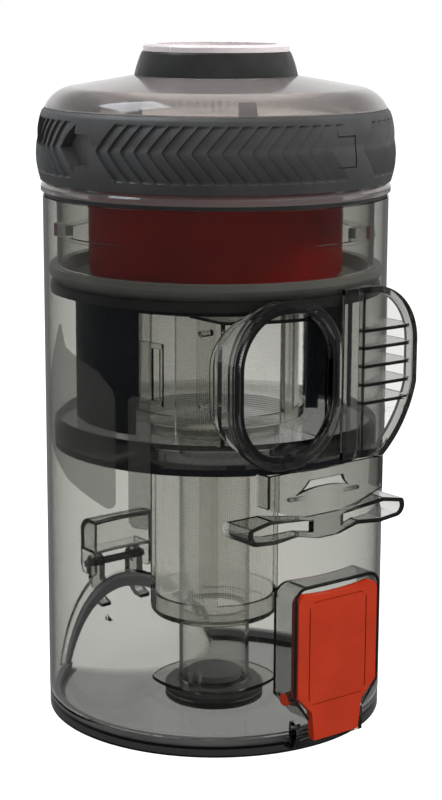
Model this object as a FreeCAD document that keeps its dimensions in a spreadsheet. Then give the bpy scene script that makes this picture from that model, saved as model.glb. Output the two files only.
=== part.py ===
"""Dust tank of a bagless vacuum cleaner: clear tank, drop-down door, latch, cyclone, filter and lid.

Millimetres, +Z up.  The origin is on the tank's axis at the plane the closed door stands on.
-Y is the side that meets the machine (inlet port and latch), +Y is the side of the door's hinge.
"""
import FreeCAD, Part
import Sketcher
import math
import os
from FreeCAD import Placement, Rotation, Vector

doc = FreeCAD.newDocument("dust_tank")
sheet = doc.addObject("Spreadsheet::Sheet", "dims")
NODES = []
PLANE_ROLES = {"XY": "XY_Plane", "XZ": "XZ_Plane", "YZ": "YZ_Plane"}
SIDEWAYS = Rotation(Vector(0, 1, 0), 90)
UPRIGHT = Rotation()


class Size:
    """A number together with the spreadsheet expression that gives it."""

    def __init__(self, value, text):
        self.value = float(value)
        self.text = text

    def _joined(self, other, sign, value):
        return Size(value, "(%s %s %s)" % (self.text, sign, size(other).text))

    def __add__(self, other):
        return self._joined(other, "+", self.value + size(other).value)

    def __sub__(self, other):
        return self._joined(other, "-", self.value - size(other).value)

    def __mul__(self, other):
        return self._joined(other, "*", self.value * size(other).value)

    def __neg__(self):
        return Size(-self.value, "(0 - %s)" % self.text)


def size(number):
    return number if isinstance(number, Size) else Size(number, repr(float(number)))


def dim(alias, value):
    """Puts one driving dimension into the sheet and returns it as a Size."""
    row = dim.row
    dim.row += 1
    sheet.set("A%d" % row, alias)
    sheet.set("B%d" % row, str(value))
    sheet.setAlias("B%d" % row, alias)
    return Size(value, "dims." + alias)


dim.row = 1

# Driving dimensions ---------------------------------------------------------------------------
tank_radius = dim("tank_radius", 82.5)
tank_wall = dim("tank_wall", 2.2)
tank_bottom = dim("tank_bottom", 8.7)
tank_rim = dim("tank_rim", 253.5)
wall = dim("moulding_wall", 2.0)
thin = dim("thin_wall", 1.6)

arch_centre = dim("arch_centre_height", -38.5)
saddle_radius = dim("saddle_radius", 65.4)
arch_radius = dim("arch_radius", 70.4)
saddle_tilt = dim("saddle_tilt_degrees", 33.0)
door_edge = dim("door_edge_height", 8.2)
floor_height = dim("door_floor_height", 3.0)
pad_radius = dim("pad_radius", 24.5)
pad_low = dim("pad_low", 0.2)
pad_top = dim("pad_top", 8.0)

hinge_depth = dim("hinge_from_axis", 88.5)
hinge_height = dim("hinge_height", 51.0)
hinge_pin_radius = dim("hinge_pin_radius", 2.0)
bracket_half = dim("hinge_bracket_half_width", 19.0)
bracket_top = dim("hinge_bracket_top", 76.0)

latch_front = dim("latch_front", 92.8)
latch_half = dim("latch_half_width", 26.0)
latch_top = dim("latch_top", 84.0)
latch_low = dim("latch_low", 24.0)
latch_pivot_depth = dim("latch_pivot_from_axis", 86.0)
latch_pivot_height = dim("latch_pivot_height", 29.3)
latch_boss_radius = dim("latch_boss_radius", 3.0)

face = dim("interface_from_axis", 84.0)
port_centre = dim("port_centre", -22.9)
port_height = dim("port_centre_height", 175.8)
port_width = dim("port_width", 63.6)
port_tall = dim("port_tall", 77.4)
port_rim = dim("port_rim", 6.0)
port_seat = dim("port_seat", 7.0)
loop_top = dim("loop_top", 216.3)
loop_edge = dim("loop_edge", 54.9)
neck_half = dim("neck_half_width", 34.6)

skirt_radius = dim("skirt_radius", 78.3)
skirt_low = dim("skirt_low", 133.5)
skirt_seam = dim("skirt_seam", 136.6)
skirt_top = dim("skirt_top", 147.5)
cup_radius = dim("cup_radius", 31.5)
cup_low = dim("cup_low", 45.5)
tube_radius = dim("tube_radius", 17.5)
screen_radius = dim("screen_radius", 44.0)
shroud_radius = dim("shroud_radius", 67.5)
flange_radius = dim("flange_radius", 80.0)
flange_low = dim("flange_low", 213.0)
flange_top = dim("flange_top", 221.0)
ring_radius = dim("upper_ring_radius", 76.0)
ring_top = dim("upper_ring_top", 255.6)

filter_radius = dim("filter_radius", 61.0)
filter_top = dim("filter_top", 292.0)

lid_radius = dim("lid_radius", 79.0)
lip_radius = dim("lid_lip_radius", 83.4)
lip_low = dim("lid_lip_low", 256.0)
grip_low = dim("grip_low", 261.0)
grip_top = dim("grip_top", 294.5)
grip_low_radius = dim("grip_low_radius", 83.6)
grip_radius = dim("grip_radius", 85.5)
brow_radius = dim("brow_radius", 81.2)
brow_curve = dim("brow_curve_radius", 16.5)
shoulder_radius = dim("shoulder_radius", 68.0)
lug_low = dim("lug_low", 291.5)
lug_top = dim("lug_top", 299.5)
cone_low = dim("cone_low", 304.4)
cone_top = dim("cone_top", 309.4)
collar_radius = dim("collar_radius", 39.0)
collar_top = dim("collar_top", 320.7)
outlet_radius = dim("outlet_radius", 34.5)
outlet_top = dim("outlet_top", 324.0)
outlet_bore = dim("outlet_bore_radius", 29.0)


# Building helpers -----------------------------------------------------------------------------
def bind(thing, field, number):
    thing.setExpression(field, size(number).text)


def place(thing, position, rotation=UPRIGHT):
    """Gives an object its Placement, with the base bound to the sheet."""
    base = [size(number) for number in position]
    thing.Placement = Placement(Vector(*[number.value for number in base]), rotation)
    for axis, number in zip("xyz", base):
        bind(thing, "Placement.Base." + axis, number)
    return thing


def cylinder(name, radius, height, position, rotation=UPRIGHT):
    solid = doc.addObject("Part::Cylinder", name)
    bind(solid, "Radius", radius)
    bind(solid, "Height", height)
    return place(solid, position, rotation)


def block(name, length, width, height, corner):
    solid = doc.addObject("Part::Box", name)
    bind(solid, "Length", length)
    bind(solid, "Width", width)
    bind(solid, "Height", height)
    return place(solid, corner)


def cut(name, base, *tools):
    result = base
    for number, tool in enumerate(tools):
        step = doc.addObject("Part::Cut", "%s_cut%d" % (name, number))
        step.Base = result
        step.Tool = tool
        result = step
    return result


def fuse(name, *solids):
    result = doc.addObject("Part::MultiFuse", name + "_union")
    result.Shapes = list(solids)
    return result


def common(name, *solids):
    result = doc.addObject("Part::MultiCommon", name + "_common")
    result.Shapes = list(solids)
    return result


def tube(name, outer, inner, low, high):
    """An upright tube between two heights."""
    height = size(high) - low
    shell = cylinder(name + "_outside", outer, height, (0, 0, low))
    hole = cylinder(name + "_inside", inner, height + 2, (0, 0, size(low) - 1))
    return cut(name, shell, hole)


def sketch_on(body, plane, corners):
    """Closed outline on one of the body's own origin planes; a third value bends the side after it."""
    sketch = body.newObject("Sketcher::SketchObject", body.Name + "_outline")
    role = PLANE_ROLES[plane]
    support = [item for item in body.Origin.OriginFeatures if item.Role == role][0]
    sketch.AttachmentSupport = [(support, "")]
    sketch.MapMode = "FlatFace"
    points = [Vector(size(corner[0]).value, size(corner[1]).value, 0) for corner in corners]
    ends = []
    for number, corner in enumerate(corners):
        start = points[number]
        finish = points[(number + 1) % len(points)]
        bend = corner[2] if len(corner) > 2 else None
        ends.append(add_side(sketch, start, finish, bend))
    for number, corner in enumerate(corners):
        side, first, _ = ends[number]
        before, _, last = ends[number - 1]
        sketch.addConstraint(Sketcher.Constraint("Coincident", before, last, side, first))
        for kind, value in (("DistanceX", corner[0]), ("DistanceY", corner[1])):
            constraint = Sketcher.Constraint(kind, -1, 1, side, first, size(value).value)
            place_in_list = sketch.addConstraint(constraint)
            bind(sketch, "Constraints[%d]" % place_in_list, value)
    for number, corner in enumerate(corners):
        if len(corner) > 2:
            constraint = Sketcher.Constraint("Radius", ends[number][0], abs(size(corner[2]).value))
            sketch.addConstraint(constraint)
    return sketch


def add_side(sketch, start, finish, bend):
    """A line, or an arc of radius |bend|: positive bulges to the right of the way along it."""
    if bend is None:
        return sketch.addGeometry(Part.LineSegment(start, finish)), 1, 2
    radius = abs(size(bend).value)
    chord = finish - start
    sagitta = radius - math.sqrt(radius ** 2 - (chord.Length / 2) ** 2)
    side = Vector(chord.y, -chord.x, 0).normalize() * math.copysign(sagitta, size(bend).value)
    middle = (start + finish) * 0.5 + side
    if size(bend).value > 0:
        return sketch.addGeometry(Part.Arc(start, middle, finish)), 1, 2
    return sketch.addGeometry(Part.Arc(finish, middle, start)), 2, 1


def turned(name, profile):
    """Solid of revolution about the tank's axis from a (radius, height) outline."""
    body = doc.addObject("PartDesign::Body", name + "_turned")
    sketch = sketch_on(body, "XZ", profile)
    revolution = body.newObject("PartDesign::Revolution", name + "_revolution")
    revolution.Profile = sketch
    revolution.ReferenceAxis = (sketch, ["V_Axis"])
    revolution.Angle = 360
    sketch.Visibility = False
    return body


def prism(name, plane, outline, length, start=0):
    """Outline padded along +Z (XY), -Y (XZ) or +X (YZ), starting 'start' along that way."""
    body = doc.addObject("PartDesign::Body", name + "_prism")
    pad = body.newObject("PartDesign::Pad", name + "_pad")
    pad.Profile = sketch_on(body, plane, outline)
    bind(pad, "Length", length)
    body.Tip = pad
    shift = {"XY": (0, 0, start), "XZ": (0, -size(start), 0), "YZ": (start, 0, 0)}[plane]
    return place(body, shift)


def oval(name, centre, height, width, tall, start, length, turn):
    """Upright oval with quarter-round corners, standing on the XZ plane and running towards -Y."""
    left = size(centre) - size(width) * 0.5
    right = size(centre) + size(width) * 0.5
    low = size(height) - size(tall) * 0.5
    high = size(height) + size(tall) * 0.5
    outline = [
        (left + turn, low), (right - turn, low, turn), (right, low + turn), (right, high - turn, turn),
        (right - turn, high), (left + turn, high, turn), (left, high - turn), (left, low + turn, turn),
    ]
    return prism(name, "XZ", outline, length, start)


def node(name, solid):
    """Names a finished sub-part; its label is the name of its file."""
    solid.Label = name
    NODES.append((name, solid))
    return solid


def around(count, first, radius, make):
    """Places 'count' equal pieces about the axis; 0 degrees faces -Y and angles grow towards +X."""
    pieces = []
    for number in range(count):
        angle = first + number * 360.0 / count
        piece = make(number)
        spin = Rotation(Vector(0, 0, 1), angle)
        height = piece.Placement.Base.z
        offset = spin.multVec(Vector(piece.Placement.Base.x, -radius, 0))
        piece.setExpression("Placement.Base.x", None)
        piece.setExpression("Placement.Base.y", None)
        piece.Placement = Placement(Vector(offset.x, offset.y, height), spin)
        pieces.append(piece)
    return pieces


def tilted_tunnel(name, radius):
    """Sloping cylinder that scoops the door's saddle; its axis falls away from the hinge side."""
    reach = 260
    slope = math.radians(saddle_tilt.value)
    start_y = tank_radius.value + reach / 2 * math.cos(slope)
    start_z = arch_centre.value + reach / 2 * math.sin(slope)
    solid = doc.addObject("Part::Cylinder", name)
    solid.Height = reach
    bind(solid, "Radius", radius)
    direction = Vector(0, -math.cos(slope), -math.sin(slope))
    solid.Placement = Placement(Vector(0, start_y, start_z), Rotation(Vector(0, 0, 1), direction))
    return solid


# Tank -----------------------------------------------------------------------------------------
def tank_shell():
    inner = tank_radius - tank_wall
    shell = tube("tank_wall", tank_radius, inner, tank_bottom, tank_rim)
    notch = tilted_tunnel("tank_arch", arch_radius)
    mouth = oval("tank_mouth", port_centre, port_height, port_width - port_seat, port_tall - port_seat,
                 50, 40, 26.5)
    bead_band = tube("tank_bead_band", tank_radius + 1.8, tank_radius - 0.4, tank_bottom, 70)
    bead_outer = tilted_tunnel("tank_bead_outer", arch_radius + 3)
    bead = common("tank_bead", bead_band, bead_outer)
    bead = cut("tank_bead_side", bead, tilted_tunnel("tank_bead_inner", arch_radius + 0.2),
               block("tank_bead_stop", bracket_half * 2 + 4, 40, 80, (-bracket_half - 2, 60, 0)),
               block("tank_bead_front", 200, 100, 100, (-100, -100, 0)))
    walls = cut("tank_open", shell, notch, mouth)
    node("tank_shell", fuse("tank", walls, bead))


def wall_panels():
    """Two frosted panels moulded on the inside of the wall, 1 mm proud."""
    inner = tank_radius - tank_wall
    band = tube("panel_band", inner, inner - 0.9, 100, 200)
    large = prism("panel_leaf", "YZ", [(15.5, 196), (11, 186), (-14, 178.5), (-22.6, 171), (-24.2, 166),
                                       (-24, 118, 4), (-19.6, 114.6), (9, 123.5), (22, 131), (29, 138),
                                       (32, 150), (30, 165), (23, 182)], 60, -100)
    node("wall_panel_large", common("panel_large", band, large))
    band2 = tube("panel_band_narrow", inner, inner - 0.9, 100, 200)
    pill = prism("panel_pill", "XZ", [(-73.3, 109.5), (-72.4, 107.5), (-69.7, 107.5), (-68.8, 109.5),
                                      (-68.8, 167), (-69.7, 169), (-72.4, 169), (-73.3, 167)], 30, 20)
    node("wall_panel_narrow", common("panel_narrow", band2, pill))


def inlet_port():
    outer = oval("port_outer", port_centre, port_height, port_width, port_tall, 40, face - 40, 30)
    hole = oval("port_hole", port_centre, port_height, port_width - port_rim * 2,
                port_tall - port_rim * 2, 39, 60, 24)
    groove = oval("port_groove", port_centre, port_height, port_width - port_seat, port_tall - port_seat,
                  face - 3.5, 10, 26.5)
    tank = cylinder("port_tank", tank_radius, 300, (0, 0, 0))
    relief = oval("port_relief_outer", port_centre, port_height, port_width + 10, port_tall + 10, 30,
                  face - 34.5, 33)
    relief_keep = oval("port_relief_keep", port_centre, port_height, port_width - 5, port_tall - 5,
                       29, 60, 27.5)
    step = cut("port_step", relief, relief_keep)
    node("inlet_port", cut("inlet_port", outer, hole, groove, tank, step))


def port_gasket():
    outer = oval("gasket_outer", port_centre, port_height, port_width - port_seat, port_tall - port_seat,
                 face - 3.5, 3.1, 26.5)
    hole = oval("gasket_hole", port_centre, port_height, port_width - port_rim * 2,
                port_tall - port_rim * 2, face - 10, 20, 24)
    node("port_gasket", cut("port_gasket", outer, hole))


def interface_plate():
    """D-shaped loop beside the port: clear plate, deep rim, cross bar and gussets to the tank."""
    inner_edge = port_centre + port_width * 0.5 + 0.3
    outline = [(inner_edge, 137), (neck_half, 136, 60), (loop_edge, 169), (loop_edge, 187, 28),
               (30, loop_top), (inner_edge, loop_top)]
    trim = 3.0
    hollow = [(inner_edge + trim, 140), (neck_half - 1, 139.6, 57), (loop_edge - trim, 170),
              (loop_edge - trim, 187, 25), (30, loop_top - trim), (inner_edge + trim, loop_top - trim)]
    skin = prism("loop_skin", "XZ", outline, thin, face - 1.8)
    rim = cut("loop_rim", prism("loop_rim_block", "XZ", outline, 6.5, face - 6.5),
              prism("loop_rim_hole", "XZ", hollow, 20, face - 13))
    bars = [block("loop_bar_%d" % number, loop_edge - 23, thin, 1.8, (22, -face, height))
            for number, height in enumerate((142, 156.5))]
    upright = block("loop_upright", 1.8, 12, 78, (21, -face, 137.5))
    gussets = [block("loop_gusset_%d" % number, 19, 22, 1.6, (34, -face + 1, height))
               for number, height in enumerate((161.0, 169.5, 178.2, 186.8, 195.0))]
    spikes = [block("loop_spike_%d" % number, 18, 12, 1.6, (22.8, -face + 1, height))
              for number, height in enumerate((161.0, 169.5, 178.2, 186.8, 195.0))]
    tank = cylinder("loop_tank", tank_radius, 300, (0, 0, 0))
    whole = fuse("loop", skin, rim, upright, *bars, *gussets, *spikes)
    trimmed = common("loop_inside", whole, prism("loop_limit", "XZ", outline, 60, 30))
    node("interface_plate", cut("interface_plate", trimmed, tank))


def shelf_bracket():
    """Tapered apron under the loop with a gull-wing ledge below it."""
    apron = prism("apron", "XZ", [(-neck_half, 120.5), (-5, 109.5), (5, 109.5), (neck_half, 120.5),
                                  (neck_half, 135.5), (-neck_half, 135.5)], wall, face - wall)
    leaf = [(-21, 123.5, -60), (19, 123.5, -9), (10, 130.5), (-10, 130.5, -20)]
    window = prism("apron_window", "XZ", leaf, 20, face - 10)
    cheeks = [block("apron_cheek_%d" % number, wall, 14, 15, (corner, -face, 120.5))
              for number, corner in enumerate((-neck_half, neck_half - wall))]
    ledge = block("apron_ledge", 42, 12, thin, (-21, -face, 121.6))
    wing_outline = [(-6, 102.8), (6, 102.8), (18, 105.6), (32, 104.2), (43, 105.2, 5.2), (46.5, 113.6),
                    (34, 116), (12, 114), (-12, 114), (-34, 116), (-46.5, 113.6, 5.2), (-43, 105.2),
                    (-32, 104.2), (-18, 105.6)]
    wings = prism("wings", "XZ", wing_outline, face + 1.6 - 40, 40)
    pocket = [(9, 106.2), (18, 107.6), (32, 106.2), (42, 107.2, 3.3), (44, 112.2), (34, 114), (9, 112)]
    mirrored = [(-9, 106.2), (-9, 112), (-34, 114), (-44, 112.2, 3.3), (-42, 107.2), (-32, 106.2),
                (-18, 107.6)]
    hollows = [prism("wing_hollow_right", "XZ", pocket, 90, 30),
               prism("wing_hollow_left", "XZ", mirrored, 90, 30)]
    tank = cylinder("shelf_tank", tank_radius, 300, (0, 0, 0))
    plate = cut("apron_open", apron, window)
    whole = fuse("shelf", plate, ledge, *cheeks, cut("wings_open", wings, *hollows))
    node("shelf_bracket", cut("shelf_bracket", whole, tank))


def latch_outline(inset):
    """Outline of the latch's housing, moved inwards by 'inset'."""
    side = latch_half - inset
    top = latch_top - inset
    curve = 7 - inset
    low = latch_low + size(inset) * 0.6
    return [(-15.0, low - 7), (15.0, low - 7), (side, low + 6), (side, top - curve, curve),
            (side - curve, top), (-side + curve, top, curve), (-side, top - curve), (-side, low + 6)]


def latch_housing():
    outer = prism("latch_outer", "XZ", latch_outline(0), latch_front - 60, 60)
    inner = prism("latch_inner", "XZ", latch_outline(1.8), 60, 50)
    mouth = block("latch_mouth", 32.6, 60, 12, (-16.3, -110, 14))
    holes = cylinder("latch_pin_hole", latch_boss_radius + 0.05, 80,
                     (-40, -latch_pivot_depth, latch_pivot_height), SIDEWAYS)
    tank = cylinder("latch_tank", tank_radius, 300, (0, 0, 0))
    node("latch_housing", cut("latch_housing", outer, inner, mouth, holes, tank))


def hinge_bracket():
    """Clear box on the tank's rear wall that carries the door's pin."""
    side = [(74, bracket_top), (74, 58), (82, 45.5), (93.5, 45.5), (95, 48), (95, 68, 8),
            (87, bracket_top)]
    cheeks = [prism("hinge_cheek_%d" % number, "YZ", side, wall, start)
              for number, start in enumerate((-bracket_half, bracket_half - wall))]
    roof = [(74, bracket_top), (74, bracket_top - 2.4), (86.5, bracket_top - 2.4, -6), (92.6, 67.6),
            (92.6, 57.5), (95, 57.5), (95, 68, 8), (87, bracket_top)]
    crown = prism("hinge_crown", "YZ", roof, bracket_half * 2, -bracket_half)
    rib = block("hinge_rib", bracket_half * 2, 20, 1.8, (-bracket_half, 74.5, 57.5))
    holes = cylinder("hinge_hole", hinge_pin_radius + 0.05, 80, (-40, hinge_depth, hinge_height), SIDEWAYS)
    tank = cylinder("hinge_tank", tank_radius, 300, (0, 0, 0))
    whole = fuse("hinge", crown, rib, *cheeks)
    node("hinge_bracket", cut("hinge_bracket", whole, holes, tank))


# Door -----------------------------------------------------------------------------------------
def saddle(name):
    """Arched scoop of the door, above its floor and on the hinge side."""
    limit = cylinder(name + "_limit", tank_radius - 0.1, 60, (0, 0, floor_height))
    vault = cut(name + "_vault", tilted_tunnel(name + "_outer", saddle_radius),
                tilted_tunnel(name + "_inner", saddle_radius - wall))
    return common(name, limit, vault, block(name + "_rear", 220, 130, 120, (-110, 8, 0)))


def door_panel():
    reach = tank_radius - 0.1
    pan = fuse("door_pan", cylinder("door_floor", reach, wall, (0, 0, floor_height)),
               tube("door_rim", reach, reach - 3, 0, floor_height + wall),
               turned("door_lip", [(reach - 1.2, 3), (reach, 3), (reach, door_edge - 1, 0.9),
                                   (reach - 0.9, door_edge - 0.1), (reach - 1.2, door_edge - 0.1)]))
    pan_open = cut("door_pan", pan, tilted_tunnel("door_scoop", saddle_radius - wall * 0.5))
    ribs = [block("door_rib_%d" % number, thin, 5, 34, (across, 66, 24))
            for number, across in enumerate((-18, 17))]
    hung = common("door_ribs", fuse("door_rib_pair", *ribs), tilted_tunnel("rib_reach", saddle_radius - 1))
    seat = cylinder("pad_seat", pad_radius + 0.02, 9, (0, 0, -0.5))
    node("door_panel", cut("door_panel", fuse("door_whole", pan_open, saddle("door_saddle"), hung), seat))


def door_gasket():
    """Face seal under the tank's edge, rising over the saddle to meet the tank's arch."""
    inner = tank_radius - 5
    outer = tank_radius - 1.5
    ring = tube("gasket_ring", outer, inner, 5.1, door_edge + 0.2)
    ring_open = cut("gasket_ring", ring, tilted_tunnel("gasket_scoop", saddle_radius + 0.4))
    arch_band = tube("gasket_band", outer + 1.2, outer - 2.2, door_edge, 60)
    arch = common("gasket_arch", arch_band, tilted_tunnel("gasket_over", arch_radius - 0.5))
    arch = cut("gasket_arch_under", arch, tilted_tunnel("gasket_under", saddle_radius + 0.05),
               block("gasket_front", 220, 120, 80, (-110, -110, 0)))
    node("door_gasket", fuse("door_gasket", ring_open, arch))


def door_hinge():
    arm = [(78, 28.5), (84, 29.5), (90, 34, 14), (92.7, 43), (92.7, 51), (84.3, 51), (84.3, 44), (83, 38),
           (83, 32.6), (78, 30.4)]
    barrel = 4.2
    pieces = []
    for number, start in enumerate((-15.5, 9.5)):
        pieces.append(prism("arm_%d" % number, "YZ", arm, 6, start))
        middle = (start, hinge_depth, hinge_height)
        pieces.append(cylinder("barrel_%d" % number, barrel, 6, middle, SIDEWAYS))
    bore = cylinder("arm_bore", hinge_pin_radius, 80, (-40, hinge_depth, hinge_height), SIDEWAYS)
    node("door_hinge_arms", cut("door_hinge_arms", fuse("arms", *pieces), bore, saddle("arm_saddle")))
    length = bracket_half * 2 + 1
    node("hinge_pin", cylinder("hinge_pin", hinge_pin_radius, length,
                               (-bracket_half - 0.5, hinge_depth, hinge_height), SIDEWAYS))


def door_catch():
    """Two clear lugs beside the lever's tab, joined by the bar that the lever's hook holds."""
    lug = [(-79, 3.2), (-85, 3.2), (-88.6, 5), (-88.6, 16.6, 2.8), (-83.4, 16.6), (-83.2, 8.5),
           (-79, 8.1)]
    lugs = [prism("catch_lug_%d" % number, "YZ", lug, 2.4, start)
            for number, start in enumerate((-20.4, 18.0))]
    bar = block("catch_bar", 36.2, 4.6, 5, (-18.1, -87.8, 7.6))
    root = block("catch_root", 40.8, 6, 4.4, (-20.4, -85.6, 3.4))
    keep = cylinder("catch_door", tank_radius - 0.1, 30, (0, 0, 0))
    node("door_catch", cut("door_catch", fuse("catch", bar, root, *lugs), keep))


def door_pad():
    profile = [(0, pad_low), (pad_radius, pad_low), (pad_radius, pad_top - 1.2),
               (pad_radius - 1.2, pad_top), (19, pad_top), (17, pad_top - 1.5), (0, pad_top - 1.5)]
    scoop = tilted_tunnel("pad_clear", saddle_radius)
    node("door_pad", cut("door_pad", turned("door_pad", profile), scoop))


# Latch ----------------------------------------------------------------------------------------
def latch_lever():
    half = latch_half - 2.2
    outline = [(-13.4, 8.5), (13.4, 8.5), (15.2, 22.6), (half, 31.4), (half, 76, 4.2),
               (half - 4, 79.8, -160), (-half + 4, 79.8, 4.2), (-half, 76), (-half, 31.4),
               (-15.2, 22.6)]
    plate = prism("lever_plate", "XZ", outline, 4, latch_front - 3.3)
    inset = [(-13, 26), (13, 26, 4.5), (17.5, 30.5), (17.5, 71.5, 4.5), (13, 76), (-13, 76, 4.5),
             (-17.5, 71.5), (-17.5, 30.5, 4.5)]
    island = [(-16.8, 26.7), (16.8, 26.7), (16.8, 75.3), (-16.8, 75.3)]
    groove = cut("lever_groove", prism("lever_inset", "XZ", inset, 2, latch_front + 0.3),
                 prism("lever_inset_keep", "XZ", island, 4, latch_front - 1))
    boss = cylinder("lever_boss", latch_boss_radius, latch_half * 2 + 0.2,
                    (-latch_half - 0.1, -latch_pivot_depth, latch_pivot_height), SIDEWAYS)
    root = (-latch_pivot_depth - 4, latch_pivot_height - 3)
    webs = [block("lever_web_%d" % number, 3, 5, 6, (start,) + root)
            for number, start in enumerate((-18, -8, 5, 15))]
    node("latch_lever", cut("latch_lever", fuse("lever", plate, boss, *webs), groove))


# Separator ------------------------------------------------------------------------------------
def separator_top():
    deck = 2.4
    grey = [(31, flange_low), (flange_radius - 4, flange_low), (flange_radius - 1.6, flange_low + 2.4, 6),
            (flange_radius, flange_low + 5), (flange_radius, flange_top), (ring_radius - 2.2, flange_top),
            (ring_radius - 6, flange_low + deck), (31, flange_low + deck)]
    node("separator_flange", turned("separator_flange", grey))
    node("flange_gasket", tube("flange_gasket", flange_radius - 0.6, flange_radius - 6, flange_low - 4.2,
                               flange_low - 0.02))
    upper = [(ring_radius - 2.2, flange_top + 0.02), (ring_radius, flange_top + 0.02),
             (ring_radius, 234.6), (ring_radius + 0.7, 235), (ring_radius + 0.7, 236.2),
             (ring_radius, 236.6), (ring_radius, ring_top), (ring_radius - 2.2, ring_top)]
    node("separator_ring", turned("separator_ring", upper))
    lugs = around(3, -101, ring_radius.value + 3.6,
                  lambda number: block("ring_lug_%d" % number, 13, 3.6, 6, (-6.5, 0, 236.8)))
    trimmed = common("ring_lugs", fuse("ring_lugs", *lugs),
                     tube("lug_band", flange_radius - 0.1, ring_radius + 0.02, 230, 250))
    node("separator_lugs", trimmed)


def shroud():
    """Black wall on both sides of the screen, open towards the inlet and at the rear."""
    low = skirt_top + 0.1
    shoulder = flange_low - 6.4
    drum = tube("shroud_drum", shroud_radius, shroud_radius - 2.4, low, shoulder)
    opening = prism("shroud_opening", "XY", [(0, 0), (-190, -63), (-190, -250), (130, -250), (173, -100)],
                    120, 120)
    rear = prism("shroud_rear", "XY", [(0, 0), (249, 35), (249, 260), (-46, 260)], 120, 120)
    cap = tube("shroud_cap", shroud_radius, screen_radius + 1.2, shoulder - 1.6, shoulder)
    neck = tube("shroud_neck", shroud_radius - 4.4, screen_radius + 1.2, shoulder, flange_low - 4.4)
    post = block("shroud_post", 2.4, 6, 58, (0, 0, low))
    spin = Rotation(Vector(0, 0, 1), 59)
    base = spin.multVec(Vector(-1.2, -screen_radius.value - 7.4, 0))
    for axis in "xy":
        post.setExpression("Placement.Base." + axis, None)
    post.Placement = Placement(Vector(base.x, base.y, low.value), spin)
    node("shroud_wall", fuse("shroud", cut("shroud", drum, opening, rear), cap, neck, post))


def screens():
    """Clear ribbed frames with fine mesh behind them, above and below the skirt."""
    low = skirt_top + 0.1
    high = flange_low - 7.2
    rings = [tube("upper_hoop_%d" % number, screen_radius, screen_radius - 2.4, start, start + 5)
             for number, start in enumerate((low, high - 5))]
    ribs = around(6, -43, screen_radius.value,
                  lambda number: block("upper_rib_%d" % number, 8, 2.3, high - low, (-4, 0, low)))
    node("upper_screen_frame", fuse("upper_screen_frame", *rings, *ribs))
    node("upper_mesh", tube("upper_mesh", screen_radius - 2.5, screen_radius - 3.1, low, high))
    clip = block("clip_block", 14.5, 1.6, 30, (-7.25, 0, 157))
    clip_hole = block("clip_hole", 5, 6, 25, (0.7, 0, 159.5))
    for piece, depth in ((clip, 45.7), (clip_hole, 48.0)):
        spin = Rotation(Vector(0, 0, 1), -79.5)
        across = piece.Placement.Base.x
        base = spin.multVec(Vector(across, -depth, 0))
        for axis in "xy":
            piece.setExpression("Placement.Base." + axis, None)
        piece.Placement = Placement(Vector(base.x, base.y, piece.Placement.Base.z), spin)
    node("frame_clip", cut("frame_clip", clip, clip_hole))
    cup_top = skirt_low + 0.2
    hoops = [tube("cup_hoop_top", cup_radius, cup_radius - 2.2, cup_top - 4, cup_top),
             tube("cup_hoop_low", cup_radius, cup_radius - 2.2, cup_low + 2, cup_low + 11),
             turned("cup_floor", [(tube_radius + 0.05, cup_low), (cup_radius - 3, cup_low, 3),
                                  (cup_radius, cup_low + 3), (cup_radius - 2.2, cup_low + 3),
                                  (tube_radius + 0.05, cup_low + 3)])]
    cup_ribs = around(4, -43, cup_radius.value,
                      lambda number: block("cup_rib_%d" % number, 8.6, 2.1, cup_top - cup_low - 4,
                                           (-4.3, 0, cup_low + 3)))
    node("cup_frame", fuse("cup_frame", *hoops, *cup_ribs))
    node("cup_mesh", tube("cup_mesh", cup_radius - 2.3, cup_radius - 2.9, cup_low + 3.1, cup_top))


def skirt():
    low = skirt_seam + 0.02
    disc = [(cup_radius - 2.2, skirt_low + 0.4), (cup_radius + 1.5, skirt_low + 0.4), (cup_radius + 4, low),
            (skirt_radius, low), (skirt_radius, skirt_top - 2), (skirt_radius - 2, skirt_top),
            (screen_radius + 2, skirt_top + 0.05), (screen_radius - 3.2, skirt_top + 0.05),
            (cup_radius - 2.2, skirt_top - 4)]
    node("skirt_disc", turned("skirt_disc", disc))
    rim = [(skirt_radius - 1.8, skirt_low), (skirt_radius, skirt_low), (skirt_radius, skirt_seam),
           (skirt_radius - 1.8, skirt_seam)]
    node("skirt_rim", turned("skirt_rim", rim))


def dust_tube():
    low = 8.6
    node("dust_tube", tube("dust_tube", tube_radius, tube_radius - 1.6, low, skirt_top - 4))
    leaf = prism("tube_leaf", "XY", [(-31, -2, 38), (0, -26, 38), (31, -2, 38), (0, 26, 38)], 1.8, 9.4)
    turn = Rotation(Vector(0, 0, 1), -37)
    leaf.Placement = Placement(leaf.Placement.Base, turn)
    lug = block("tube_lug", 5, 4, 8, (-21, -10.5, 11.1))
    hole = cylinder("tube_leaf_hole", tube_radius + 0.02, 30, (0, 0, 0))
    node("tube_flange", cut("tube_flange", fuse("tube_flange", leaf, lug), hole))
    node("tube_plug", cylinder("tube_plug", 13.5, 3, (0, 0, 11)))


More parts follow.
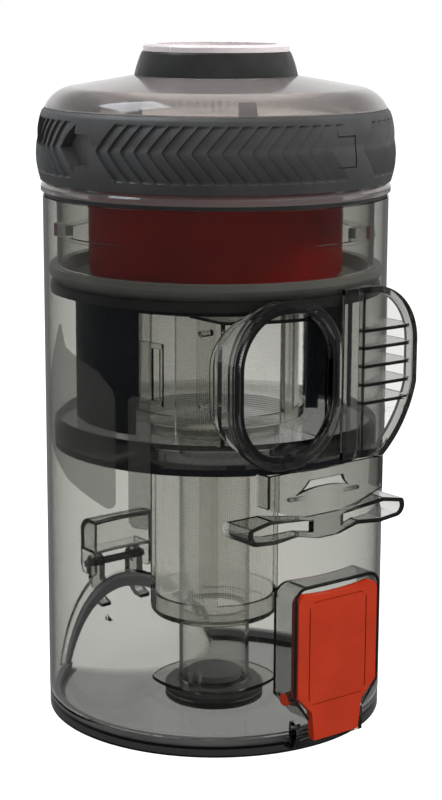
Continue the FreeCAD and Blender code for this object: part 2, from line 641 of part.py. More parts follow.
def inlet_duct():
    """Clear duct of the separator that carries the air from the port to the screen."""
    left = port_centre - port_width * 0.5 + 8
    right = port_centre + port_width * 0.5 - 7
    low = skirt_top + 0.15
    roof = flange_low - 8.2
    tall = roof - low
    walls = [block("duct_left", thin, 50, tall, (left, -80, low)),
             block("duct_right", thin, 50, tall, (right, -80, low)),
             block("duct_roof", right - left, 40, thin, (left, -80, roof - thin))]
    reach = cylinder("duct_reach", flange_radius - 0.6, 300, (0, 0, 0))
    core = cylinder("duct_core", screen_radius + 3.4, 300, (0, 0, 0))
    body = cut("inlet_duct", common("duct", fuse("duct", *walls), reach), core)
    pegs = [cylinder("duct_peg_%d" % number, 1.5, 6.5, (left - 6.4, -57.5, height), SIDEWAYS)
            for number, height in enumerate((166.0, 199.0))]
    node("inlet_duct", fuse("inlet_duct", body, *pegs))


# Filter ---------------------------------------------------------------------------------------
def filter_parts():
    low = flange_low + 2.4 + 0.3
    cup = [(0, low), (filter_radius - 2, low), (filter_radius, low + 2), (filter_radius, filter_top - 4),
           (filter_radius + 5, filter_top - 3), (filter_radius + 5, filter_top),
           (filter_radius - 2, filter_top), (filter_radius - 2, low + 2), (0, low + 2)]
    windows = around(6, 20, filter_radius.value + 4,
                     lambda number: block("filter_window_%d" % number, 24, 10, 8, (-12, 0, 276)))
    node("filter_cup", cut("filter_cup", turned("filter_cup", cup), *windows))
    node("filter_media", cylinder("filter_media", filter_radius - 2.1, filter_top - 1 - low - 2.05,
                                  (0, 0, low + 2.03)))


# Lid ------------------------------------------------------------------------------------------
def lid():
    inner = lid_radius - wall
    shell = [(inner, lip_low), (lip_radius, lip_low), (lip_radius, grip_low - 2.6),
             (lip_radius - 1.6, grip_low - 0.4), (lid_radius, grip_low - 0.4),
             (lid_radius, grip_top + 0.4), (brow_radius, grip_top + 0.4, brow_curve),
             (shoulder_radius, cone_low), (collar_radius, cone_top), (outlet_radius + 0.1, cone_top),
             (outlet_radius + 0.1, cone_top - wall), (collar_radius, cone_top - wall),
             (shoulder_radius - 0.5, cone_low - wall, -brow_curve), (inner, grip_top - 1)]
    node("lid_dome", turned("lid_dome", shell))
    lugs = []
    for row, (start, width) in enumerate(((-93.5, 27), (-67, 6), (-27, 7.5))):
        name = "lid_lug_%d" % row + "_%d"
        corner = (-width / 2, 0, lug_low)
        lugs += around(2, start, inner.value,
                       lambda number: block(name % number, width, 6, lug_top - lug_low, corner))
    reach = turned("lug_reach", [(60, lug_low - 1), (inner - 0.02, lug_low - 1),
                                 (inner - 0.02, grip_top - 1, brow_curve),
                                 (shoulder_radius - 0.52, cone_low - wall - 0.02),
                                 (60, cone_low - wall - 0.02)])
    node("lid_lugs", common("lid_lugs", fuse("lid_lugs", *lugs), reach))
    seal = tube("lid_gasket", tank_radius - 0.6, inner + 0.1, tank_rim + 0.4, lip_low - 0.02)
    node("lid_gasket", seal)


def grip_ring():
    inner = lid_radius + 0.4
    profile = [(inner, grip_low), (grip_low_radius, grip_low), (grip_radius - 0.9, grip_low + 4, 36),
               (grip_radius - 0.9, grip_low + 20, 30), (82.6, grip_top - 1.5), (81.3, grip_top),
               (inner, grip_top)]
    ring = turned("grip_ring", profile)
    pointer = [(5.9, 279.2), (-5.2, 290.2), (-5.2, 285.6), (-16.2, 285.6), (-16.2, 271.2),
               (-5.2, 271.2), (-5.2, 268.2)]
    arrow = prism("grip_window", "YZ", pointer, 40, -110)
    node("grip_ring", cut("grip_ring", ring, arrow))


def outlet():
    rubber = [(outlet_bore + 4, cone_top + 0.02), (collar_radius - 0.3, cone_top + 0.02),
              (collar_radius - 0.5, cone_top + 1.2, 60), (outlet_radius + 0.9, collar_top - 0.9),
              (outlet_radius + 0.2, collar_top), (outlet_bore + 4, collar_top)]
    node("outlet_collar", turned("outlet_collar", rubber))
    clear = [(outlet_bore, cone_top - wall), (outlet_bore + 3.9, cone_top - wall),
             (outlet_bore + 3.9, collar_top + 0.03), (outlet_radius, collar_top + 0.03),
             (outlet_radius, outlet_top - 1), (outlet_radius - 1, outlet_top), (outlet_bore, outlet_top)]
    node("outlet_ring", turned("outlet_ring", clear))


# Build, check and write -----------------------------------------------------------------------
def build():
    tank_shell()
    wall_panels()
    inlet_port()
    port_gasket()
    interface_plate()
    shelf_bracket()
    latch_housing()
    hinge_bracket()
    door_panel()
    door_gasket()
    door_hinge()
    door_catch()
    door_pad()
    latch_lever()
    separator_top()
    shroud()
    screens()
    skirt()
    dust_tube()
    inlet_duct()
    filter_parts()
    lid()
    grip_ring()
    outlet()
    doc.recompute()


def check():
    for thing in doc.Objects:
        if "Invalid" in thing.State or "Error" in thing.State:
            raise RuntimeError("%s failed: %s" % (thing.Name, thing.State))
    for name, solid in NODES:
        shape = solid.Shape
        if shape.isNull() or not shape.isValid() or not shape.Solids:
            raise RuntimeError("%s has no valid shape" % name)


def write():
    os.makedirs("parts", exist_ok=True)
    for name, solid in NODES:
        solid.Shape.exportStep(os.path.join("parts", name + ".step"))
        box = solid.Shape.optimalBoundingBox(False, False)
        print("%-20s solids %2d volume %9.0f  x %.1f..%.1f y %.1f..%.1f z %.1f..%.1f" % (
            name, len(solid.Shape.Solids), solid.Shape.Volume, box.XMin, box.XMax, box.YMin, box.YMax,
            box.ZMin, box.ZMax))


build()
check()
write()
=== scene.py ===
"""Looks of the clear dust tank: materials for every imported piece, and the detail that those leave out."""
import bpy
import bmesh
import math
from mathutils import Matrix, Vector


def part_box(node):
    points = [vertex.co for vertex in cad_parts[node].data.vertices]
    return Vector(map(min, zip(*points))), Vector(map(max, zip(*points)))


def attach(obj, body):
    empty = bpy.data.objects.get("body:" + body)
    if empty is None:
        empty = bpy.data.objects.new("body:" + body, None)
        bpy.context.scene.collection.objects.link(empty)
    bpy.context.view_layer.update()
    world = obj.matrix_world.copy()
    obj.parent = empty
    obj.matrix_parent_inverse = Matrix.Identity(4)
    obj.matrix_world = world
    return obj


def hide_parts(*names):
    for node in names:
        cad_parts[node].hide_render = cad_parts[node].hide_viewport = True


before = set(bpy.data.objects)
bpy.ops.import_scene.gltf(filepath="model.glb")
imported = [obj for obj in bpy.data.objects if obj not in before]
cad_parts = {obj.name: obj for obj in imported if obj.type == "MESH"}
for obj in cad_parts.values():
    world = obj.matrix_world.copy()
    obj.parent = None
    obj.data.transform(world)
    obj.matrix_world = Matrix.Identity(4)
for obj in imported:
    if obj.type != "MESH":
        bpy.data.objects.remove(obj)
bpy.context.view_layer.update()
scene = bpy.context.scene
MM = 0.001


# Materials ------------------------------------------------------------------------------------
def add_node(tree, kind, inputs, **settings):
    """A new node in the tree; an input that is given a socket is linked, and any other is set."""
    made = tree.nodes.new(kind)
    for name, value in settings.items():
        setattr(made, name, value)
    for name, value in inputs.items():
        if isinstance(value, bpy.types.NodeSocket):
            tree.links.new(value, made.inputs[name])
        else:
            made.inputs[name].default_value = value
    return made


class Shader:
    """One material, with short ways to add nodes to it."""

    def __init__(self, name):
        self.material = bpy.data.materials.new(name)
        self.material.use_nodes = True
        self.tree = self.material.node_tree
        self.tree.nodes.clear()
        self.output = self.tree.nodes.new("ShaderNodeOutputMaterial")
        self.place = self.tree.nodes.new("ShaderNodeTexCoord").outputs["Object"]

    def node(self, kind, inputs, **settings):
        return add_node(self.tree, kind, inputs, **settings)

    def noise(self, scale, detail=3.0, stretch=(1, 1, 1), roughness=0.55):
        spread = self.node("ShaderNodeMapping", {"Vector": self.place, "Scale": stretch})
        made = self.node("ShaderNodeTexNoise", {"Vector": spread.outputs[0], "Scale": scale,
                                                "Detail": detail, "Roughness": roughness})
        return made.outputs[0]

    def span(self, value, low, high, to_low, to_high):
        made = self.node("ShaderNodeMapRange", {"Value": value, "From Min": low, "From Max": high,
                                                "To Min": to_low, "To Max": to_high})
        return made.outputs[0]

    def math(self, operation, first, second=0.0):
        return self.node("ShaderNodeMath", {0: first, 1: second}, operation=operation).outputs[0]

    def colours(self, value, stops):
        made = self.node("ShaderNodeValToRGB", {"Fac": value})
        ramp = made.color_ramp
        while len(ramp.elements) < len(stops):
            ramp.elements.new(0.5)
        for element, (place, colour) in zip(ramp.elements, stops):
            element.position = place
            element.color = (*colour, 1)
        return made.outputs[0]

    def bump(self, height, strength, distance, under=None):
        inputs = {"Height": height, "Strength": strength, "Distance": distance}
        if under is not None:
            inputs["Normal"] = under
        return self.node("ShaderNodeBump", inputs).outputs[0]

    def blend(self, share, first, second):
        """The first colour where the share is 0 and the second where it is 1."""
        made = self.node("ShaderNodeMix", {"Factor": share, "A": first, "B": second}, data_type="RGBA")
        return made.outputs["Result"]

    def layered(self, share, first, second):
        """The first shader where the share is 0 and the second where it is 1."""
        return self.node("ShaderNodeMixShader", {0: share, 1: first.outputs[0], 2: second.outputs[0]})

    def surface(self, shader):
        self.tree.links.new(shader.outputs[0], self.output.inputs["Surface"])
        return self.material


def grey(level):
    return (level, level, level)


ZONE_EDGE = 0.5     # half the width, in mm, of the soft edge of the painted-shade zone of a clear piece
CAP_EDGE = 0.2      # half the width, in mm, of the edge of a moulded piece's cap


def clear(name, tint, depth, density, rough=0.02, shade=(0.9, 0.9, 0.89), wave=0.25, ior=1.46, through=1.0,
          shade_zones=()):
    """Clear moulded plastic: tinted, darker through its thickness, with faint smudges and scuffs.

    Each of shade_zones is (radius, height, tint), and that tint holds outside the radius and below the
    height, both in mm; each is painted shade, a darker tint low down on the piece.
    """
    s = Shader(name)
    tone = (*tint, 1)
    # Painted shade: each zone blends the tint darker outside its radius and below its height.
    for radius, height, shade_tint in shade_zones:
        split = s.node("ShaderNodeSeparateXYZ", {"Vector": s.place})
        reach = s.math("SQRT", s.math("ADD", s.math("POWER", split.outputs[0], 2.0),
                                      s.math("POWER", split.outputs[1], 2.0)))
        outside = s.span(reach, (radius - ZONE_EDGE) * MM, (radius + ZONE_EDGE) * MM, 0.0, 1.0)
        below = s.span(split.outputs[2], (height - ZONE_EDGE) * MM, (height + ZONE_EDGE) * MM, 1.0, 0.0)
        tone = s.blend(s.math("MULTIPLY", outside, below), tone, (*shade_tint, 1))
    smudges = s.span(s.noise(38, 5), 0.45, 0.75, 0.0, 0.03)
    scuffs = s.span(s.noise(420, 2, (1, 1, 0.06)), 0.66, 0.78, 0.0, 0.10)
    roughness = s.math("ADD", s.math("ADD", smudges, scuffs), rough)
    sink = s.bump(s.noise(16, 1), wave, 0.0012)
    fine = s.bump(s.noise(700, 3), 0.03, 0.0002, sink)
    glass = s.node("ShaderNodeBsdfPrincipled", {
        "Base Color": tone, "Roughness": roughness, "Transmission Weight": through, "IOR": ior,
        "Normal": fine})
    lamps = s.node("ShaderNodeBsdfTransparent", {"Color": (*shade, 1)})
    ray = s.node("ShaderNodeLightPath", {})
    passing = s.math("MAXIMUM", ray.outputs["Is Shadow Ray"], ray.outputs["Is Diffuse Ray"])
    soak = s.node("ShaderNodeVolumeAbsorption", {"Color": (*depth, 1), "Density": density})
    s.tree.links.new(soak.outputs[0], s.output.inputs["Volume"])
    return s.surface(s.layered(passing, glass, lamps))


def moulded(name, low, high, rough, grain=900, depth=0.08, specks=0.0, coat=0.0, shine=0.5, cap=None):
    """Opaque moulded plastic or rubber: mottled colour, fine grain and dust specks.

    cap is (height in mm, colour) of a band on top in another colour.
    """
    s = Shader(name)
    cloud = s.noise(45, 5)
    base = s.colours(cloud, [(0.3, low), (0.72, high)])
    if cap:
        height, colour = cap
        split = s.node("ShaderNodeSeparateXYZ", {"Vector": s.place})
        above = s.span(split.outputs[2], (height - CAP_EDGE) * MM, (height + CAP_EDGE) * MM, 0.0, 1.0)
        base = s.blend(above, base, (*colour, 1))
    dust = s.span(s.noise(2600, 2), 0.70, 0.78, 0.0, specks)
    tinted = s.blend(dust, base, (0.5, 0.49, 0.46, 1))
    wear = s.span(s.noise(110, 4), 0.35, 0.7, rough - 0.07, rough + 0.08)
    pits = s.bump(s.noise(grain, 3), depth, 0.0004)
    swell = s.bump(s.noise(22, 2), 0.06, 0.001, pits)
    body = s.node("ShaderNodeBsdfPrincipled", {
        "Base Color": tinted, "Roughness": wear, "Normal": swell,
        "Specular IOR Level": shine, "Coat Weight": coat, "Coat Roughness": 0.12})
    return s.surface(body)


def frosted(name):
    """Thin satin film on the tank's wall that only dims and slightly hazes what lies behind."""
    s = Shader(name)
    grain = s.noise(1500, 3)
    cloud = s.noise(30, 3)
    lit = s.node("ShaderNodeBsdfPrincipled", {
        "Base Color": s.colours(cloud, [(0.3, (0.07, 0.07, 0.068)), (0.7, (0.10, 0.10, 0.097))]),
        "Roughness": s.span(grain, 0.3, 0.7, 0.3, 0.5), "Specular IOR Level": 0.2,
        "Normal": s.bump(grain, 0.15, 0.0002)})
    open_part = s.node("ShaderNodeBsdfTransparent", {"Color": (0.82, 0.82, 0.81, 1)})
    share = s.span(grain, 0.2, 0.8, 0.16, 0.26)
    return s.surface(s.layered(share, open_part, lit))


def woven(name, radius, pitch):
    """Fine woven steel cloth on a cylinder, sizes in metres: wires both ways, holes between them."""
    s = Shader(name)
    split = s.node("ShaderNodeSeparateXYZ", {"Vector": s.place})
    angle = s.math("ARCTAN2", split.outputs[0], split.outputs[1])
    along = s.math("MULTIPLY", angle, radius)
    rise = split.outputs[2]
    turn = 2 * math.pi / pitch
    first = s.math("SINE", s.math("MULTIPLY", s.math("ADD", along, rise), turn))
    second = s.math("SINE", s.math("MULTIPLY", s.math("SUBTRACT", along, rise), turn))
    weave = s.math("MULTIPLY", first, second)
    wire = s.span(weave, -0.3, 0.3, 0.04, 0.44)
    shade = s.colours(s.noise(60, 4), [(0.3, (0.84, 0.84, 0.81)), (0.7, (0.94, 0.94, 0.91))])
    steel = s.node("ShaderNodeBsdfPrincipled", {
        "Base Color": shade, "Roughness": s.span(s.noise(300, 2), 0.3, 0.7, 0.4, 0.6),
        "Normal": s.bump(weave, 0.3, 0.0003)})
    # Painted light: a 0.45 share of the wires' shading is translucent and passes light from behind, a
    # stand-in for light bouncing between the wires, since steel wire is opaque.
    between_wire_light = s.node("ShaderNodeBsdfTranslucent", {"Color": (0.93, 0.93, 0.90, 1)})
    hole = s.node("ShaderNodeBsdfTransparent", {"Color": (0.97, 0.97, 0.96, 1)})
    return s.surface(s.layered(wire, hole, s.layered(0.45, steel, between_wire_light)))


def brushed(name):
    """Steel with fine streaks along X."""
    s = Shader(name)
    streaks = s.noise(900, 3, (0.03, 1, 1))
    steel = s.node("ShaderNodeBsdfPrincipled", {
        "Base Color": s.colours(streaks, [(0.3, grey(0.24)), (0.7, grey(0.4))]), "Metallic": 1.0,
        "Roughness": s.span(streaks, 0.3, 0.7, 0.22, 0.42), "Normal": s.bump(streaks, 0.2, 0.0002)})
    return s.surface(steel)


def pleated_paper(name):
    """Fibrous filter paper, a little grimy."""
    s = Shader(name)
    fibres = s.noise(1400, 5, (1, 1, 0.25))
    grime = s.noise(60, 4)
    paper = s.node("ShaderNodeBsdfPrincipled", {
        "Base Color": s.colours(grime, [(0.3, (0.5, 0.47, 0.43)), (0.75, (0.68, 0.65, 0.61))]),
        "Roughness": s.span(fibres, 0.3, 0.7, 0.75, 0.95), "Normal": s.bump(fibres, 0.4, 0.0004)})
    return s.surface(paper)


tank_plastic = clear("tank_plastic", (0.67, 0.67, 0.645), (0.3, 0.3, 0.27), 75.0, ior=1.25, shade=grey(0.97))
fitting_plastic = clear("fitting_plastic", (0.92, 0.92, 0.905), (0.2, 0.2, 0.18), 190.0)
pale_plastic = clear("pale_plastic", (0.90, 0.90, 0.885), (0.25, 0.26, 0.25), 80.0, ior=1.3)
latch_plastic = clear("latch_plastic", (0.80, 0.81, 0.80), (0.2, 0.21, 0.21), 260.0)
# Painted shade: the door's tint is darker below 6 mm and near black on its outer rim below 5 mm, standing in
# for the shade under the tank that the glowing floor doesn't give.
door_plastic = clear("door_plastic", (0.78, 0.78, 0.76), (0.15, 0.16, 0.15), 120.0, ior=1.3,
                     shade_zones=((-1.0, 6.0, grey(0.48)), (75.0, 5.0, grey(0.03))))
core_plastic = clear("core_plastic", (0.94, 0.94, 0.92), (0.3, 0.3, 0.28), 60.0, rough=0.05, ior=1.3,
                     shade=grey(0.97))
skirt_plastic = clear("skirt_plastic", (0.50, 0.50, 0.50), (0.1, 0.1, 0.12), 12.0, rough=0.05, ior=1.3)
lid_plastic = clear("lid_plastic", (0.36, 0.335, 0.33), (0.5, 0.47, 0.47), 40.0, rough=0.08, ior=1.35,
                    through=0.88)
ring_plastic = clear("ring_plastic", (0.60, 0.55, 0.565), (0.8, 0.74, 0.76), 20.0, rough=0.25, through=0.45)

seal_grey = moulded("seal_grey", (0.135, 0.140, 0.145), (0.185, 0.190, 0.195), 0.5, 1300, 0.08, 0.05,
                    shine=0.2)
pad_rubber = moulded("pad_rubber", grey(0.030), grey(0.048), 0.5, 1300, 0.08, 0.05, shine=0.15)

# The material of each slot, and below it the nodes that differ from their slot.
FINISHES = {
    "tank_clear": tank_plastic,
    "frosted": frosted("frosted_film"),
    "black_rubber": moulded("black_rubber", grey(0.010), grey(0.022), 0.42, 1300, 0.10, 0.10, shine=0.15),
    "latch_clear": latch_plastic,
    "door_clear": door_plastic,
    "steel_pin": brushed("steel_pin"),
    "orange": moulded("latch_orange", (0.29, 0.017, 0.0014), (0.35, 0.022, 0.002), 0.40, 1600, 0.10, 0.03,
                      shine=0.3),
    "grey_plastic": moulded("flange_grey", (0.105, 0.104, 0.098), (0.14, 0.139, 0.132), 0.4, 900, 0.05, 0.1,
                          shine=0.25),
    "separator_clear": core_plastic,
    "black_plastic": moulded("black_plastic", (0.003, 0.005, 0.008), (0.006, 0.009, 0.013), 0.34, 1100, 0.05,
                             0.03, shine=0.06),
    "skirt_smoke": skirt_plastic,
    "mesh": woven("lower_screen", 0.029, 0.0018),
    "red_plastic": moulded("filter_red", (0.22, 0.004, 0.001), (0.30, 0.006, 0.0015), 0.38, 900, 0.05, 0.05,
                           shine=0.08, cap=(262.0, (0.20, 0.185, 0.18))),
    "filter_media": pleated_paper("filter_paper"),
    "lid_clear": lid_plastic,
    "grip": moulded("grip_rubber", grey(0.022), (0.034, 0.035, 0.037), 0.55, 2200, 0.30, 0.12),
}
NODE_FINISHES = {
    "inlet_port": fitting_plastic, "interface_plate": fitting_plastic, "shelf_bracket": fitting_plastic,
    "hinge_bracket": pale_plastic, "outlet_ring": ring_plastic, "port_gasket": latch_plastic,
    "door_gasket": seal_grey, "door_hinge_arms": pale_plastic, "door_pad": pad_rubber, "tube_plug": seal_grey,
    "upper_mesh": woven("upper_screen", 0.0415, 0.0018),
}

for name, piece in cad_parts.items():
    for place, held in enumerate(piece.data.materials):
        piece.data.materials[place] = NODE_FINISHES.get(name, FINISHES[held.name.split(".")[0]])


# Mesh helpers ---------------------------------------------------------------------------------
def closed_mesh(name, points, faces):
    """A mesh whose faces all look outwards."""
    mesh = bpy.data.meshes.new(name)
    mesh.from_pydata(points, [], faces)
    shape = bmesh.new()
    shape.from_mesh(mesh)
    bmesh.ops.recalc_face_normals(shape, faces=shape.faces)
    shape.to_mesh(mesh)
    shape.free()
    return mesh


def mesh_piece(name, points, faces, material, body, smooth_angle=35):
    mesh = closed_mesh(name, points, faces)
    mesh.materials.append(material)
    piece = bpy.data.objects.new(name, mesh)
    scene.collection.objects.link(piece)
    mesh.shade_smooth()
    with bpy.context.temp_override(object=piece, active_object=piece, selected_objects=[piece],
                                   selected_editable_objects=[piece]):
        bpy.ops.object.shade_smooth_by_angle(angle=math.radians(smooth_angle))
    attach(piece, body)
    return piece


def on_ring(degrees, radius, height):
    """A point, in metres, at an angle measured from the latch side towards +X; radius and height in mm."""
    turn = math.radians(degrees)
    return (radius * math.sin(turn) * MM, -radius * math.cos(turn) * MM, height * MM)


def smooth(value):
    """An even rise from 0 to 1 that starts and ends level."""
    value = min(max(value, 0.0), 1.0)
    return value * value * (3 - 2 * value)


# Grip band ------------------------------------------------------------------------------------
# The band's outer face goes through these (radius, height) points; two stretches of it are arcs.
FOOT = (83.55, 261.0)
SWELL_LOW = (84.6, 265.0)
SWELL_HIGH = (84.6, 281.0)
BROW = (82.6, 293.0)
CREST = (81.3, 294.5)
SIDE_ARC = 36.0
BROW_ARC = 30.0
BAND_INNER = 79.4
LEVEL_STEP = 0.55

# Chevron teeth: the pattern repeats every PITCH degrees and leans SLANT degrees for each mm of height.
PITCH = 4.5
FIRST_TOOTH = -94.4
SLANT = 0.59
RELIEF = 1.3
RELIEF_LOW, RELIEF_HIGH = 265.4, 291.0
RELIEF_FADE = 0.9
APEX_HEIGHT = 278.9
APEX_ROUND = 0.9
TOOTH = [0.0, 0.12, 0.26, 0.4, 0.54, 0.68, 0.8, 0.89, 0.945]
PANELS = ((-78.0, -2.0), (13.5, 84.0), (102.0, 174.0), (193.5, 264.0))

# Arrow outline: heights of its point, head and shaft, lengths in degrees.
ARROW_TIP = 279.2
HEAD_LOW, HEAD_HIGH = 268.2, 290.2
SHAFT_LOW, SHAFT_HIGH = 271.2, 285.6
HEAD_LENGTH = 7.4
WINDOW_ARROW = -93.6
ENGRAVED_ARROW = -5.0
GROOVE_WIDTH, GROOVE_DEPTH = 0.8, 0.7
ENGRAVING_RADIUS = 85.0


def on_arc(height, start, end, radius):
    """Radius at a height on the arc that swells outwards between two (radius, height) points."""
    half = (Vector(end) - Vector(start)) * 0.5
    back = Vector((-half.y, half.x)).normalized() * math.sqrt(radius ** 2 - half.length_squared)
    centre = Vector(start) + half + back
    return centre.x + math.sqrt(radius ** 2 - (height - centre.y) ** 2)


def on_line(height, start, end):
    """Radius at a height on the straight line between two (radius, height) points."""
    return start[0] + (height - start[1]) / (end[1] - start[1]) * (end[0] - start[0])


def band_radius(height):
    if height < SWELL_LOW[1]:
        return on_line(height, FOOT, SWELL_LOW)
    if height < SWELL_HIGH[1]:
        return on_arc(height, SWELL_LOW, SWELL_HIGH, SIDE_ARC)
    if height < BROW[1]:
        return on_arc(height, SWELL_HIGH, BROW, BROW_ARC)
    return on_line(height, BROW, CREST)


def in_panel(degrees):
    for start, end in PANELS:
        if start <= degrees <= end or start <= degrees + 360 <= end:
            return True
    return False


def tooth_depth(phase, height):
    ends = smooth((height - RELIEF_LOW) / RELIEF_FADE) * smooth((RELIEF_HIGH - height) / RELIEF_FADE)
    return RELIEF * (1 - phase / TOOTH[-1]) * ends


def lean(height):
    """Degrees by which a chevron is turned at this height, none at its apex."""
    return (math.hypot(height - APEX_HEIGHT, APEX_ROUND) - APEX_ROUND) * SLANT


def grip_band():
    """The ring's outside with sunken chevron teeth, closed by a plain inner wall."""
    low, high = FOOT[1], CREST[1]
    levels = [low, low + 0.6]
    while levels[-1] < BROW[1] - 0.1:
        levels.append(levels[-1] + LEVEL_STEP)
    levels += [BROW[1] + 0.5, high]
    columns = []
    for number in range(round(360 / PITCH)):
        for phase in TOOTH:
            columns.append((number * PITCH + FIRST_TOOTH, phase))
    points = []
    for height in levels:
        for start, phase in columns:
            depth = tooth_depth(phase, height) if in_panel(start + PITCH / 2) else 0.0
            degrees = start + phase * PITCH + lean(height)
            points.append(on_ring(degrees, band_radius(height) - depth, height))
    for height in (high, low):
        for start, phase in columns:
            points.append(on_ring(start + phase * PITCH + lean(height), BAND_INNER, height))
    count = len(columns)
    rows = len(levels) + 2
    faces = []
    for row in range(rows):
        here = row * count
        above = (row + 1) % rows * count
        for column in range(count):
            beside = (column + 1) % count
            faces.append((here + column, here + beside, above + beside, above + column))
    return points, faces


def cutter(name, outline, reach):
    """A prism whose outline is given as (degrees, height), cut radially through the band."""
    points = []
    for radius in reach:
        for degrees, height in outline:
            points.append(on_ring(degrees, radius, height))
    count = len(outline)
    faces = [tuple(range(count)), tuple(range(2 * count - 1, count - 1, -1))]
    for number in range(count):
        following = (number + 1) % count
        faces.append((number, number + count, following + count, following))
    piece = bpy.data.objects.new(name, closed_mesh(name, points, faces))
    scene.collection.objects.link(piece)
    return piece


def arrow(tip):
    """An arrow outline that points towards lower angles, as (degrees, height) points."""
    neck = tip + HEAD_LENGTH
    tail = neck + HEAD_LENGTH
    return [(tip, ARROW_TIP), (neck, HEAD_LOW), (neck, SHAFT_LOW), (tail, SHAFT_LOW), (tail, SHAFT_HIGH),
            (neck, SHAFT_HIGH), (neck, HEAD_HIGH)]


def inset(outline, width):
    """The outline moved inwards by the same width all round."""
    moved = []
    for number, point in enumerate(outline):
        before = (point - outline[number - 1]).normalized()
        after = (outline[(number + 1) % len(outline)] - point).normalized()
        mitre = Vector((-before.y - after.y, before.x + after.x)) / (1 + before.dot(after))
        moved.append(point + mitre * width)
    return moved


def divided(outline, parts):
    """The closed outline with more points along every side."""
    points = []
    for number, point in enumerate(outline):
        following = outline[(number + 1) % len(outline)]
        points += [point.lerp(following, step / parts) for step in range(parts)]
    return points


def engraving(outline, width, depth):
    """A closed groove cutter that follows the outline round the band's curve; sizes in mm."""
    arc = math.radians(1) * ENGRAVING_RADIUS
    sides = [Vector((degrees * arc, height)) for degrees, height in outline]
    points = []
    for outer, inner in zip(divided(sides, 6), divided(inset(sides, width), 6)):
        for place, lift in ((outer, -depth), (outer, 2.0), (inner, 2.0), (inner, -depth)):
            points.append(on_ring(place.x / arc, band_radius(place.y) + lift, place.y))
    count = len(points)
    faces = []
    for start in range(0, count, 4):
        after = start + 4
        for corner in range(4):
            beside = (corner + 1) % 4
            faces.append((start + corner, start + beside, (after + beside) % count, (after + corner) % count))
    piece = bpy.data.objects.new("engraving_tool", closed_mesh("engraving_tool", points, faces))
    scene.collection.objects.link(piece)
    return piece


def subtract(piece, tool):
    """Cut the tool out of the piece for good, and delete the tool."""
    change = piece.modifiers.new("cut", "BOOLEAN")
    change.operation = "DIFFERENCE"
    change.solver = "EXACT"
    change.object = tool
    bpy.context.view_layer.update()
    shape = bpy.data.meshes.new_from_object(piece.evaluated_get(bpy.context.evaluated_depsgraph_get()))
    piece.modifiers.clear()
    piece.data = shape
    bpy.data.objects.remove(tool)


band_points, band_faces = grip_band()
band = mesh_piece("grip_band", band_points, band_faces, FINISHES["grip"], "grip", 32)
subtract(band, cutter("window_tool", arrow(WINDOW_ARROW), (70, 95)))
subtract(band, engraving(arrow(ENGRAVED_ARROW), GROOVE_WIDTH, GROOVE_DEPTH))
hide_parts("grip_ring")


# Filter pleats --------------------------------------------------------------------------------
FOLDS = 84
FOLD_ROUND = 1.2 * MM


def pleats():
    """A folded paper drum inside the filter media's box, closed below and dished on top."""
    low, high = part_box("filter_media")
    outer = high.x - 0.2 * MM
    inner = outer * 0.72
    fold = (outer, outer - FOLD_ROUND, inner, inner + FOLD_ROUND)
    count = FOLDS * len(fold)
    heights = [low.z + 0.3 * MM, high.z - 3.0 * MM, high.z - 0.4 * MM]
    points = []
    for height in heights:
        for step in range(count):
            turn = 2 * math.pi * step / count
            reach = fold[step % len(fold)]
            points.append((reach * math.sin(turn), -reach * math.cos(turn), height))
    points.append((0, 0, heights[0]))
    points.append((0, 0, heights[-1] - 2.0 * MM))
    last = (len(heights) - 1) * count
    faces = []
    for here in range(0, last, count):
        above = here + count
        for step in range(count):
            beside = (step + 1) % count
            faces.append((here + step, here + beside, above + beside, above + step))
    base, crown = len(points) - 2, len(points) - 1
    for step in range(count):
        beside = (step + 1) % count
        faces.append((beside, step, base))
        faces.append((last + step, last + beside, crown))
    return points, faces


pleat_points, pleat_faces = pleats()
paper = mesh_piece("filter_pleats", pleat_points, pleat_faces, FINISHES["filter_media"], "filter",
                   20)
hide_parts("filter_media")


# Stage ----------------------------------------------------------------------------------------
FLOOR_HALF = 6.0
FLOOR_GAP = 0.0002
CAMERA_PLACE = (-0.5627, -0.7254, 0.349)
CAMERA_HEADING, CAMERA_DROP, CAMERA_ROLL = 37.9845, 12.0928, 0.2468


def floor():
    """A glowing white table that is dimmer in mirror reflections and in the light it throws back."""
    s = Shader("studio_floor")
    speckle = s.colours(s.noise(6, 3), [(0.3, grey(0.90)), (0.7, grey(0.93))])
    matt = s.node("ShaderNodeBsdfDiffuse", {"Color": speckle})
    ray = s.node("ShaderNodeLightPath", {})
    mirrored = s.span(ray.outputs["Glossy Depth"], 0.4, 0.6, 0.0, 1.0)
    lit = s.span(mirrored, 0, 1, 1.24, 0.22)
    level = s.math("MULTIPLY", lit, s.span(ray.outputs["Is Diffuse Ray"], 0, 1, 1.0, 0.35))
    glow = s.node("ShaderNodeEmission", {"Color": (1, 1, 1, 1), "Strength": level})
    share = s.span(mirrored, 0, 1, 0.86, 1.0)
    corners = [(-FLOOR_HALF, -FLOOR_HALF, 0), (FLOOR_HALF, -FLOOR_HALF, 0), (FLOOR_HALF, FLOOR_HALF, 0),
               (-FLOOR_HALF, FLOOR_HALF, 0)]
    mesh = bpy.data.meshes.new("floor")
    mesh.from_pydata(corners, [], [(0, 1, 2, 3)])
    mesh.materials.append(s.surface(s.layered(share, matt, glow)))
    piece = bpy.data.objects.new("floor", mesh)
    piece.location.z = -FLOOR_GAP
    scene.collection.objects.link(piece)


def lamp(name, place, target, size, power, colour=(1, 1, 1)):
    """A soft area lamp aimed at the target, not seen through the clear plastic."""
    data = bpy.data.lights.new(name, "AREA")
    data.shape = "RECTANGLE"
    data.size, data.size_y = size
    data.energy = power
    data.color = colour
    piece = bpy.data.objects.new(name, data)
    piece.location = place
    piece.rotation_euler = (Vector(target) - Vector(place)).to_track_quat("-Z", "Y").to_euler()
    piece.visible_transmission = False
    scene.collection.objects.link(piece)
    return piece


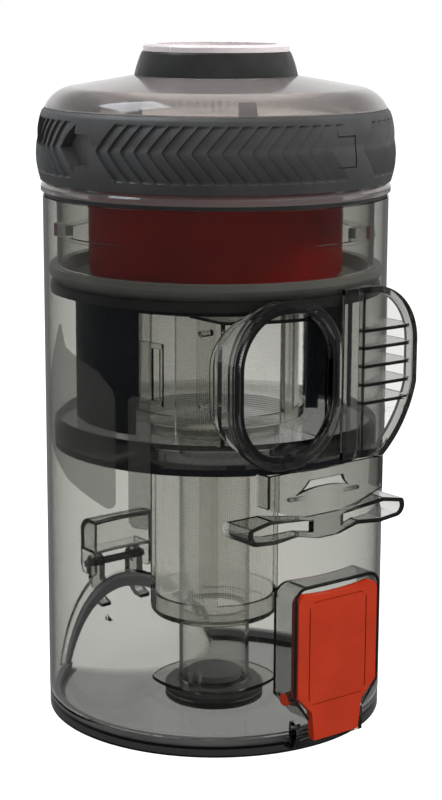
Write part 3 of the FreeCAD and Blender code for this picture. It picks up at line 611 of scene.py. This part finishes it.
def sky():
    """Even white surroundings, dimmer in mirror reflections, most of all high up, and in diffuse light."""
    world = bpy.data.worlds.new("studio")
    world.use_nodes = True
    tree = world.node_tree
    ray = add_node(tree, "ShaderNodeLightPath", {})
    direction = add_node(tree, "ShaderNodeTexCoord", {}).outputs["Generated"]
    rise = add_node(tree, "ShaderNodeSeparateXYZ", {0: direction}).outputs[2]
    height = add_node(tree, "ShaderNodeMapRange", {"Value": rise, "From Min": 0.25, "From Max": 0.5,
                                                   "To Min": 0.05, "To Max": 0.7}).outputs[0]

    def maths(operation, first, second):
        return add_node(tree, "ShaderNodeMath", {0: first, 1: second}, operation=operation).outputs[0]

    mirrored = maths("GREATER_THAN", ray.outputs["Glossy Depth"], 0.5)
    loss = maths("MULTIPLY", mirrored, height)
    scatter = maths("MULTIPLY", ray.outputs["Is Diffuse Ray"], 0.25)
    strength = maths("SUBTRACT", 1.0, maths("ADD", loss, scatter))
    back = tree.nodes["Background"]
    back.inputs["Color"].default_value = (1.0, 1.0, 1.0, 1)
    tree.links.new(strength, back.inputs["Strength"])
    scene.world = world


def photographer():
    """The camera, about 12 degrees above the level and 38 degrees round from the latch."""
    data = bpy.data.cameras.new("camera")
    data.lens = 86.27
    data.sensor_width = 36.0
    data.clip_start = 0.05
    piece = bpy.data.objects.new("camera", data)
    heading = Matrix.Rotation(math.radians(-CAMERA_HEADING), 4, "Z")
    drop = Matrix.Rotation(math.radians(90 - CAMERA_DROP), 4, "X")
    roll = Matrix.Rotation(math.radians(CAMERA_ROLL), 4, "Z")
    piece.matrix_world = Matrix.Translation(CAMERA_PLACE) @ heading @ drop @ roll
    scene.collection.objects.link(piece)
    scene.camera = piece


floor()
sky()
photographer()
key = lamp("key", (0.45, -0.75, 1.2), (0, 0, 0.16), (0.6, 0.6), 26.0, (1.0, 0.985, 0.96))
lamp("fill", (-0.45, 0.35, 1.15), (0, 0, 0.28), (0.5, 0.5), 8.0, (0.88, 0.94, 1.0))
top = lamp("top", (0.1, 0.2, 1.3), (0, 0, 0.3), (0.6, 0.6), 9.0)
for unseen in (key, top):
    unseen.visible_glossy = False
scene.view_settings.view_transform = "Standard"
scene.cycles.max_bounces = 32
scene.cycles.transmission_bounces = 28
scene.cycles.transparent_max_bounces = 48
